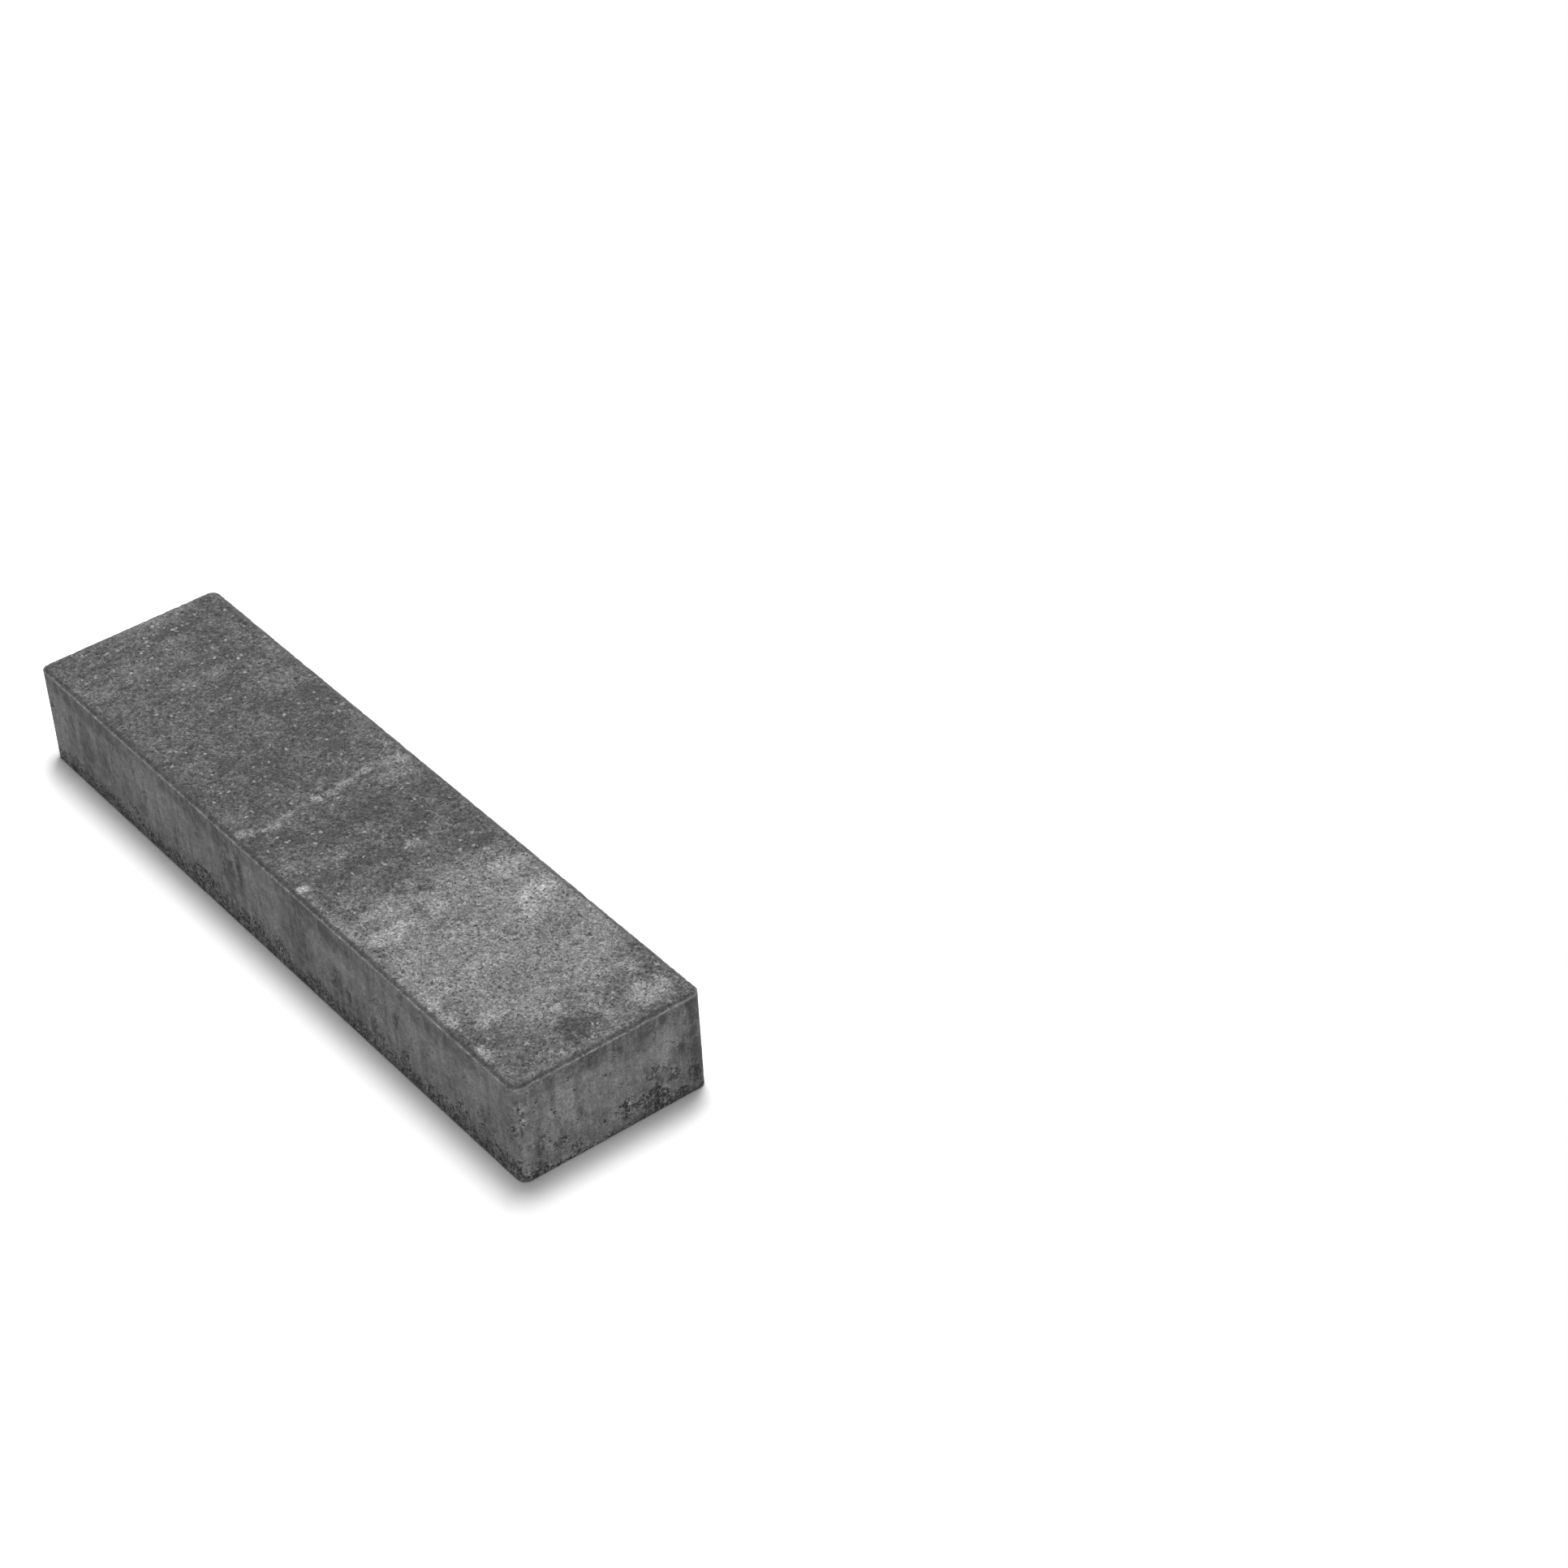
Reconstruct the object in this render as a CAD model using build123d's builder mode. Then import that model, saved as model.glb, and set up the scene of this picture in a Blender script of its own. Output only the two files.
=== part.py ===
from build123d import *
import os
from math import atan2, degrees

# Rectangular paving stone of pressed concrete, one solid piece.
# The origin is the centre of the bed face: +X runs along the length, +Y across the width, +Z up
# to the walking face.

# Driving dimensions in millimetres
stone_length = 597.0     # 600 mm step of the laying grid less its joint
stone_width = 147.0      # 150 mm step of the laying grid less its joint
stone_thickness = 80.0   # bed face to walking face
corner_radius = 7.0      # the four upright corners, seen from above
land_width = 1.0         # flat ledge round the top, where concrete rose between press shoe and mould
bevel_width = 3.0        # sloping edge of the walking face, measured level from the ledge inwards
bevel_depth = 2.0        # height of the walking face above the ledge
break_radius = 5.0       # soft break where the bevel turns into the walking face

# Values that follow from them
ledge_height = stone_thickness - bevel_depth
crown_length = stone_length - 2 * land_width
crown_width = stone_width - 2 * land_width
crown_radius = corner_radius - land_width
bevel_lean = degrees(atan2(bevel_width, bevel_depth))   # lean of the bevel from upright

os.makedirs("parts", exist_ok=True)

# The mould box gives the upright sides and the rounded corners.
# The press shoe, a little smaller than the box, gives the raised crown: it leaves a narrow flat
# ledge all round, a bevel above the ledge, and a softly broken edge where the walking face begins.
with BuildPart() as paving_stone:
    with BuildSketch(Plane.XY):
        RectangleRounded(stone_length, stone_width, corner_radius)
    extrude(amount=ledge_height)

    with BuildSketch(Plane.XY.offset(ledge_height)):
        RectangleRounded(crown_length, crown_width, crown_radius)
    extrude(amount=bevel_depth, taper=bevel_lean)

    walking_face = paving_stone.faces().sort_by(Axis.Z)[-1]
    fillet(walking_face.edges(), radius=break_radius)

paving_stone.part.label = "paving_stone"
export_step(paving_stone.part, "parts/paving_stone.step")
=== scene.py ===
# %% [markdown]
# A pressed concrete paving stone
#
# This lesson dresses one finished CAD part: a long paving stone, 597 x 147 x 80 mm, as it comes out
# of a block press. The size and the form belong to the CAD model, and Blender adds what the press,
# the mix and the handling leave on it: a grainy walking face in drifts of dark and pale mix, a thin
# ragged lip round the top, drag marks down the sides and open, porous concrete along the foot.
#
# We work in millimetres and turn them into Blender's metres in one place, because every pattern on
# the stone has a real size: a sand grain, a pore, the width of a drag mark.

import math

import bpy
import numpy as np
from mathutils import Matrix, Vector, noise


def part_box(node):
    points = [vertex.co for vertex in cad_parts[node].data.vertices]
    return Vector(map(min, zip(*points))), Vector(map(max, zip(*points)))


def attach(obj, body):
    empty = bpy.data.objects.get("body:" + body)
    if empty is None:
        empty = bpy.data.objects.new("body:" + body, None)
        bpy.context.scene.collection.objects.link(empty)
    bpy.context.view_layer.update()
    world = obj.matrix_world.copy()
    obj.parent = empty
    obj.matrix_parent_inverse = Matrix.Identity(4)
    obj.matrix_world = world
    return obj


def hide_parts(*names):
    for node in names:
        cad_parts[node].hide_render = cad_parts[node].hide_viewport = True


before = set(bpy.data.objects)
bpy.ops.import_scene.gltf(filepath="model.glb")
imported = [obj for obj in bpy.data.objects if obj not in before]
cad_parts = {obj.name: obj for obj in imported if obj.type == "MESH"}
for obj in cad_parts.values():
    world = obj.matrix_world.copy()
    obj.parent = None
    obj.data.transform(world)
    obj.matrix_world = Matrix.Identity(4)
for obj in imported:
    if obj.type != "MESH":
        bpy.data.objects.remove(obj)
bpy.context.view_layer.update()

MM = 0.001
stone_low, stone_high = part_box("paving_stone")
stone_length, stone_width, stone_height = (stone_high - stone_low) / MM
print(f"CAD stone: {stone_length:.1f} x {stone_width:.1f} x {stone_height:.1f} mm")

# %% [markdown]
# The camera
#
# The photograph was taken with a long lens from almost three metres away, which is why the long
# edges hardly run together. We put the camera where the photographer stood, aim it, and then roll it
# by the few degrees that the picture is turned. The aim lies beyond the stone, so the stone stands
# low and to the left in the picture, as it does in the photograph, and no lens shift is needed.

# %% Camera
camera_place = Vector((1.8496, -0.9777, 1.6895))
camera_aim = Vector((0.1224, 0.2750, 0.0400))
camera_roll = math.radians(-3.24)
lens_mm = 88.9
sensor_mm = 36.0

camera_data = bpy.data.cameras.new("photo_camera")
camera_data.lens = lens_mm
camera_data.sensor_width = sensor_mm
camera = bpy.data.objects.new("photo_camera", camera_data)
bpy.context.scene.collection.objects.link(camera)
look = (camera_aim - camera_place).to_track_quat("-Z", "Y").to_matrix().to_4x4()
camera.matrix_world = Matrix.Translation(camera_place) @ look @ Matrix.Rotation(camera_roll, 4, "Z")
bpy.context.scene.camera = camera
print(f"camera is {(camera_aim - camera_place).length:.2f} m from its aim")

# %% [markdown]
# The pressed form
#
# The mould box shapes the upright sides and the rounded corners. The press shoe is a little smaller
# than the box, so concrete rises in the gap and sets as a narrow flat ledge, and the shoe's own rim
# presses the bevel above it. These are the sizes the CAD model was built from.
#
# The CAD mesh has a few large faces, which is right for a form but leaves no vertices for pores and
# grain. A voxel remesh would give vertices, but it would blur the ledge, which is only 1 mm wide. So
# we lay our own grid over the whole stone: lines close together where the pressed edge turns, and
# about 1.5 mm apart everywhere else.

# %% Sizes of the pressed edge, in millimetres
corner_radius = 7.0
ledge_width = 1.0
bevel_width = 3.0
bevel_depth = 2.0
break_radius = 5.0
ledge_height = stone_height - bevel_depth

bevel_angle = math.atan2(bevel_depth, bevel_width)
break_end = ledge_width + bevel_width + break_radius * math.tan(bevel_angle / 2)
break_start = break_end - break_radius * math.sin(bevel_angle)


def crown_drop(inset):
    """How far the top lies under the walking face, for distances in from the outer face."""
    on_bevel = bevel_depth - (inset - ledge_width) * math.tan(bevel_angle)
    run = np.clip(break_end - inset, 0, break_radius)
    on_break = break_radius - np.sqrt(break_radius ** 2 - run ** 2)
    drop = np.where(inset < break_start, on_bevel, on_break)
    return np.where(inset <= ledge_width, bevel_depth, drop)


print(f"the bevel turns into the walking face between {break_start:.1f} and {break_end:.1f} mm in")

# %% [markdown]
# Grid lines
#
# Near each face the lines follow the pressed edge: two strips on the ledge, three up the bevel and
# three round the break. The last of them lies on the centre of the corner's arc, so the same strips
# can turn the corner as rings. Between them the lines are evenly spaced.

# %% Place the grid lines
edge_lines = np.array([0.0, 0.5, 1.0, 1.9, 2.8, 3.6, 4.5, 5.6, corner_radius])
corner_cells = len(edge_lines) - 1
cells_long = 392
cells_wide = 96


def grid_lines(size, cells):
    """Positions of the grid lines across one size of the stone, from face to face."""
    inner = np.linspace(corner_radius, size - corner_radius, cells - 2 * corner_cells + 1)
    return np.concatenate([edge_lines, inner[1:-1], size - edge_lines[::-1]]) - size / 2


lines_x = grid_lines(stone_length, cells_long)
lines_y = grid_lines(stone_width, cells_wide)
step = lines_x[corner_cells + 1] - lines_x[corner_cells]
print(f"grid step on the walking face: {step:.2f} mm")

# %% [markdown]
# Turning the corners
#
# A square grid has square corners, and the stone has rounded ones. In each corner block we keep the
# strips but bend them: a vertex that was k strips in from the edge moves to the arc that lies k
# strips in, and its place along the strip becomes an angle on that arc.

# %% Plan of the grid
column, row = np.meshgrid(np.arange(cells_long + 1), np.arange(cells_wide + 1), indexing="ij")
from_end = np.minimum(column, cells_long - column)
from_side = np.minimum(row, cells_wide - row)
strip = np.minimum(np.minimum(from_end, from_side), corner_cells)
inset = edge_lines[strip]

plan_x = lines_x[column]
plan_y = lines_y[row]
in_corner = (from_end < corner_cells) & (from_side < corner_cells)
strips_left = np.maximum(corner_cells - strip, 1)
turn = np.radians(45) * (corner_cells - np.maximum(from_end, from_side)) / strips_left
turn = np.where(from_end < from_side, turn, np.radians(90) - turn)
centre_x = np.sign(plan_x) * (stone_length / 2 - corner_radius)
centre_y = np.sign(plan_y) * (stone_width / 2 - corner_radius)
arc_x = centre_x + np.sign(plan_x) * (corner_radius - inset) * np.cos(turn)
arc_y = centre_y + np.sign(plan_y) * (corner_radius - inset) * np.sin(turn)
plan_x = np.where(in_corner, arc_x, plan_x)
plan_y = np.where(in_corner, arc_y, plan_y)
print(f"{in_corner.sum()} vertices turn the corners")

# %% [markdown]
# Top, sides and underside
#
# The top is the plan lifted to the crown's height. Its outermost loop of vertices is copied down the
# sides in rows: close together just under the ledge, 2 mm apart down the plain wall, and 1 mm apart
# along the foot, where the concrete is open and needs the most detail. The underside is flat and
# lies on the sand, so its grid is four times as coarse.

# %% Build the vertices
top = np.stack([plan_x, plan_y, stone_height - crown_drop(inset)], axis=-1)
top_index = np.arange(top.shape[0] * top.shape[1]).reshape(top.shape[:2])


def outer_loop(grid):
    """The outermost vertices of a grid, once round."""
    return np.concatenate([grid[:-1, 0], grid[-1, :-1], grid[:0:-1, -1], grid[0, :0:-1]])


loop = outer_loop(top_index)
open_foot = 26.0
wall_top = ledge_height - 4.2
foot_end = 2.0
arris_rows = ledge_height - np.array([0.5, 1.3, 2.5])
wall_rows = np.linspace(wall_top, open_foot, 25)
foot_rows = np.linspace(open_foot - 1.0, foot_end, 24)
lowest_rows = np.array([1.2, 0.5, 0.0])
side_rows = np.concatenate([arris_rows, wall_rows, foot_rows, lowest_rows])
sides = np.empty((len(side_rows), len(loop), 3))
sides[:, :, :2] = top.reshape(-1, 3)[loop, :2]
sides[:, :, 2] = side_rows[:, None]

coarse = 4
bed_inset = 5.0
bed = top[::coarse, ::coarse].copy()
bed[..., 0] *= 1 - 2 * bed_inset / stone_length
bed[..., 1] *= 1 - 2 * bed_inset / stone_width
bed[..., 2] = 0.0

points = np.concatenate([top.reshape(-1, 3), sides.reshape(-1, 3), bed.reshape(-1, 3)])
side_index = top_index.size + np.arange(sides.shape[0] * sides.shape[1]).reshape(sides.shape[:2])
bed_index = side_index.max() + 1 + np.arange(bed.shape[0] * bed.shape[1]).reshape(bed.shape[:2])
print(f"{len(points)} vertices, {len(side_rows)} rows down the sides")

# %% [markdown]
# One closed skin
#
# Quads join each grid. Four quads' width of the fine loop meets one quad's width of the coarse
# underside, and a fan of five triangles closes that step, so no edge is left open.

# %% Join the vertices with faces


def quads(a, b, c, d):
    """Faces from four grids that hold the first, second, third and fourth corner of each."""
    return np.stack([a, b, c, d], axis=-1).reshape(-1, 4).tolist()


top_faces = quads(top_index[:-1, :-1], top_index[1:, :-1], top_index[1:, 1:], top_index[:-1, 1:])
upper = np.concatenate([loop[None, :], side_index])
upper_next = np.roll(upper, -1, axis=1)
side_faces = quads(upper[:-1], upper[1:], upper_next[1:], upper_next[:-1])
bed_faces = quads(bed_index[:-1, :-1], bed_index[:-1, 1:], bed_index[1:, 1:], bed_index[1:, :-1])

fine_loop = side_index[-1].tolist()
coarse_loop = outer_loop(bed_index).tolist()
foot_faces = []
for k, inner in enumerate(coarse_loop):
    inner_next = coarse_loop[(k + 1) % len(coarse_loop)]
    outer = [fine_loop[(k * coarse + n) % len(fine_loop)] for n in range(coarse + 1)]
    foot_faces += [[outer[0], inner, outer[1]], [outer[1], inner, outer[2]]]
    foot_faces += [[outer[2], inner, inner_next]]
    foot_faces += [[outer[2], inner_next, outer[3]], [outer[3], inner_next, outer[4]]]
print(f"{len(top_faces)} quads on top, {len(side_faces)} on the sides, {len(bed_faces)} underneath")

# %% [markdown]
# Shaking the grid
#
# Pores cut into a perfect grid line up in rows and give the grid away. We nudge each vertex along its
# own face by a little over a quarter of a step, and on the sides less up and down, where the rows are
# closer. Vertices on the pressed edge and round the corners stay put, because they hold the form.

# %% Nudge the vertices along their faces
nudge_along = 0.28
nudge_upright = 0.6
on_face = 0.01
random = np.random.default_rng(5)
shake = random.uniform(-nudge_along, nudge_along, points.shape) * step
free = np.zeros(points.shape)
free[top_index[(strip == corner_cells) & ~in_corner]] = (1, 1, 0)

on_long_side = np.abs(sides[..., 1]) > stone_width / 2 - on_face
on_end = np.abs(sides[..., 0]) > stone_length / 2 - on_face
plain_rows = np.zeros(sides.shape[:2], dtype=bool)
plain_rows[len(arris_rows):-len(lowest_rows)] = True
free[side_index[on_long_side & plain_rows]] = (1, 0, nudge_upright)
free[side_index[on_end & plain_rows]] = (0, 1, nudge_upright)
points += shake * free
print(f"{int(free.any(axis=1).sum())} vertices nudged")

# %% [markdown]
# Which way is in
#
# All relief is cut inwards, never built outwards, so that the stone keeps its real size. For that we
# need the outward direction at every vertex of the smooth form, and Blender works it out for us.

# %% Make the smooth form and read its normals
stone_mesh = bpy.data.meshes.new("pressed_stone")
stone_mesh.from_pydata((points * MM).tolist(), [], top_faces + side_faces + bed_faces + foot_faces)
stone_mesh.update()
outward = np.empty(len(points) * 3)
stone_mesh.vertices.foreach_get("normal", outward)
outward = outward.reshape(-1, 3)
triangles = sum(len(p.vertices) - 2 for p in stone_mesh.polygons)
print(f"{triangles} triangles")

# %% [markdown]
# Soft shapes from noise
#
# Concrete has no drawn lines: every patch and pore fades or crumbles at its rim. Three helpers make
# all of them. The first blends between two levels, the second is smooth noise whose waves have a real
# size, and the third lays out soft ovals whose rims the noise makes ragged. An oval has its full
# strength out to 0.45 of its half sizes and is gone at 1.25 of them.

# %% Helpers for soft shapes
oval_core, oval_rim = 0.45, 1.25
rim_rag = 0.45
rag_size_share = 0.55


def smooth_step(low, high, value):
    """0 below the low level, 1 above the high one, and a soft S between them."""
    t = min(max((value - low) / (high - low), 0.0), 1.0)
    return t * t * (3 - 2 * t)


def wobble(place, size, seed=0.0):
    """Smooth noise from -1 to 1, for a place and a pattern size in millimetres."""
    return noise.noise(Vector((place[0] / size + seed, place[1] / size - seed, place[2] / size)))


def ragged_ovals(along, across, ovals):
    """Strongest pale plus strongest dark oval at a point; each oval fades out at its ragged rim."""
    pale, dark = 0.0, 0.0
    for middle_along, middle_across, half_along, half_across, strength in ovals:
        away = math.hypot((along - middle_along) / half_along, (across - middle_across) / half_across)
        if away < oval_rim + rim_rag:
            rag_waves = rag_size_share * min(half_along, half_across)
            away += rim_rag * wobble((along, across, 0), rag_waves, seed=3.0)
            share = strength * (1 - smooth_step(oval_core, oval_rim, away))
            pale = max(pale, share)
            dark = min(dark, share)
    return pale + dark


noise.seed_set(7)
print(f"an oval of strength 1 is {ragged_ovals(0, 0, [(0, 0, 5, 5, 1)]):.1f} at its middle")

# %% [markdown]
# Where the concrete is open
#
# A press fills the mould from above, and vibration packs it downwards. The foot gets the least paste,
# so the body mix stays open there: along the whole foot, and in patches above it. The patches of the
# two sides that show are placed as in the photograph, each by its middle along the face and its
# height, its half length and half height, and how open it is. The hidden sides get the same patches
# in reverse order. The open foot itself is 18 mm high on the long side and 7 mm on the end, and two
# sizes of noise make its upper limit rise and fall.

# %% Open patches of the long side and of the end, in millimetres
open_on_long_side = [
    (-289, 50, 6, 4, 0.9),
    (-262, 12, 18, 7, 0.7),
    (-222, 8, 12, 8, 1.0),
    (-182, 20, 8, 5, 0.9),
    (-162, 43, 9, 8, 0.7),
    (-112, 40, 7, 6, 0.65),
    (-84, 19, 24, 10, 1.0),
    (-54, 19, 8, 4, 0.8),
    (-48, 48, 12, 18, 0.55),
    (-31, 54, 4, 20, 0.8),
    (-24, 11, 24, 11, 1.0),
    (14, 15, 13, 10, 1.0),
    (62, 11, 16, 9, 0.8),
    (86, 30, 8, 9, 0.7),
    (100, 28, 4, 13, 0.85),
    (132, 24, 9, 12, 0.7),
    (138, 43, 12, 11, 0.65),
    (160, 46, 4, 8, 0.85),
    (168, 20, 5, 12, 1.0),
    (206, 8, 24, 8, 0.8),
    (234, 18, 12, 11, 0.9),
    (222, 31, 8, 5, 0.6),
    (258, 26, 7, 14, 0.8),
    (291, 44, 7, 14, 0.7),
]
open_on_end = [
    (-70, 56, 5, 20, 0.75),
    (-66, 8, 10, 8, 0.55),
    (-57, 26, 9, 9, 0.7),
    (-42, 18, 9, 8, 0.8),
    (-30, 10, 8, 5, 0.7),
    (-44, 48, 4, 16, 0.4),
    (10, 15, 13, 10, 0.9),
    (32, 13, 15, 12, 1.0),
    (33, 34, 10, 8, 0.7),
    (47, 23, 7, 7, 0.9),
    (54, 43, 5, 4, 0.8),
    (64, 16, 9, 14, 0.8),
]
foot_of_long_side = 18
foot_of_end = 7
lowest_foot = 4
foot_openness = 0.85
swell, swell_size = 9, 34
ripple, ripple_size = 5, 9


def along_side(place, direction):
    """Place along a side, and whether that side is an end. Hidden sides run in reverse."""
    if abs(direction[1]) > abs(direction[0]):
        return place[0] * -np.sign(direction[1]), False
    return place[1] * np.sign(direction[0]), True


def openness_of(place, direction):
    """How open the body mix is at a place on the sides, from 0, filled, to 1."""
    along, is_end = along_side(place, direction)
    rise = swell * wobble(place, swell_size, seed=5.0) + ripple * wobble(place, ripple_size, seed=7.0)
    foot_height = max((foot_of_end if is_end else foot_of_long_side) + rise, lowest_foot)
    foot = foot_openness * (1 - smooth_step(oval_core, oval_rim, place[2] / foot_height))
    return max(foot, ragged_ovals(along, place[2], open_on_end if is_end else open_on_long_side))


print(f"{len(open_on_long_side) + len(open_on_end)} open patches besides the foot")

# %% [markdown]
# Relief of each face
#
# Sand makes the walking face rough by about a tenth of a millimetre, and pits where a grain came away
# with the press shoe are some 2 mm wide. The bevel keeps a third of that, as the shoe's rim pressed it
# smooth. On the ledge the concrete that rose beside the shoe broke off unevenly, which leaves chips.
# The mould walls drag upright grooves down the sides as the fresh stone is pushed out, and where the
# mix is open, gaps go in between the grains. On the sides the relief fades out within 3 mm of the
# arris and 5 mm of the floor, which keeps the two edges whole.
#
# A pit, chip or gap starts where a noise passes a first level and has its full depth at a second, and
# open mix lowers both levels for the gaps. Each function returns the depth of the cut and how much of
# a hollow the place is, which the material darkens later with painted shade.

# %% Relief of the top, in millimetres
sand_depth, sand_lump = 0.16, 2.6
pit_depth, pit_size = 0.8, 2.4
pit_levels = (0.36, 0.62)
chip_depth, chip_size = 0.35, 3.4
chip_levels = (0.05, 0.45)
chip_hollow = 0.2
ledge_end = ledge_width + 0.2
relief_on_bevel = 0.3


def top_relief(place, from_arris):
    if from_arris < ledge_end:
        chip = smooth_step(*chip_levels, wobble(place, chip_size, seed=17.0))
        return chip_depth * chip, chip_hollow * chip
    flat = relief_on_bevel + (1 - relief_on_bevel) * smooth_step(ledge_width, break_end, from_arris)
    sand = 0.5 + 0.5 * wobble(place, sand_lump)
    pit = smooth_step(*pit_levels, wobble(place, pit_size, seed=11.0))
    return flat * (sand_depth * sand + pit_depth * pit), flat * pit


print(f"deepest pit {pit_depth} mm")

# %% Relief of the sides and the underside, in millimetres
drag_depth, drag_width, drag_stretch = 0.10, 2.3, 14
wave_share, wave_size = 0.4, 14
gap_depth, gap_size, gap_squeeze = 1.2, 2.7, 0.7
gap_start, gap_start_open = 0.62, 0.0
gap_full, gap_full_open = 0.86, 0.36
arris_calm, foot_calm = 3.0, 5.0
relief_at_foot = 0.1
bed_gap_depth, bed_gap_size = 1.0, 7.0
bed_gap_levels = (0.15, 0.55)
bed_hollow = 0.6


def side_relief(place, direction, openness):
    along, is_end = along_side(place, direction)
    drag = 0.5 + 0.5 * wobble((along, 50.0 * is_end, place[2] / drag_stretch), drag_width, seed=21.0)
    wave = 0.5 + 0.5 * wobble(place, wave_size, seed=23.0)
    grain = wobble((place[0], place[1], gap_squeeze * place[2]), gap_size, seed=31.0)
    starts = gap_start + (gap_start_open - gap_start) * openness
    full = gap_full + (gap_full_open - gap_full) * openness
    gap = smooth_step(starts, full, grain)
    off_arris = smooth_step(0.0, arris_calm, ledge_height - place[2])
    off_foot = relief_at_foot + (1 - relief_at_foot) * smooth_step(0.0, foot_calm, place[2])
    depth = drag_depth * (drag + wave_share * wave) + gap_depth * gap
    return depth * off_arris * off_foot, gap * off_arris


def bed_relief(place):
    gap = smooth_step(*bed_gap_levels, wobble(place, bed_gap_size, seed=37.0))
    return bed_gap_depth * gap, bed_hollow * gap


print(f"deepest gap {gap_depth} mm")

# %% [markdown]
# Cutting the relief
#
# Every vertex moves inwards by its depth. We keep three values of each vertex for the material: how
# hollow it is, which sets how much painted shade it gets, how open the mix is there, and how far it
# lies from the arris, in millimetres, in over the top as a positive distance and down the side as a
# negative one.

# %% Move the vertices inwards
depth = np.zeros(len(points))
hollow = np.zeros(len(points))
openness = np.zeros(len(points))
from_arris = points[:, 2] - ledge_height
from_arris[:top_index.size] = inset.ravel()
for n, (place, direction) in enumerate(zip(points.tolist(), outward.tolist())):
    if n < top_index.size:
        depth[n], hollow[n] = top_relief(place, from_arris[n])
    elif n < bed_index.min():
        openness[n] = openness_of(place, direction)
        depth[n], hollow[n] = side_relief(place, direction, openness[n])
    else:
        depth[n], hollow[n] = bed_relief(place)

smooth_points = points.tolist()
points -= outward * depth[:, None]
stone_mesh.vertices.foreach_set("co", (points * MM).ravel())
stone_mesh.update()
stone_mesh.shade_smooth()
print(f"relief: mean {depth.mean():.2f} mm, deepest {depth.max():.2f} mm")

# %% [markdown]
# The stone as an object
#
# The new mesh stands for the CAD node, which stays in the model for its collision and weight. Nothing
# on the stone moves, so it rides on the one body there is.

# %% Put the stone in the scene
pressed_stone = bpy.data.objects.new("pressed_stone", stone_mesh)
bpy.context.scene.collection.objects.link(pressed_stone)
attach(pressed_stone, "root")
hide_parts("paving_stone")
print("pressed_stone stands for paving_stone")
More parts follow.
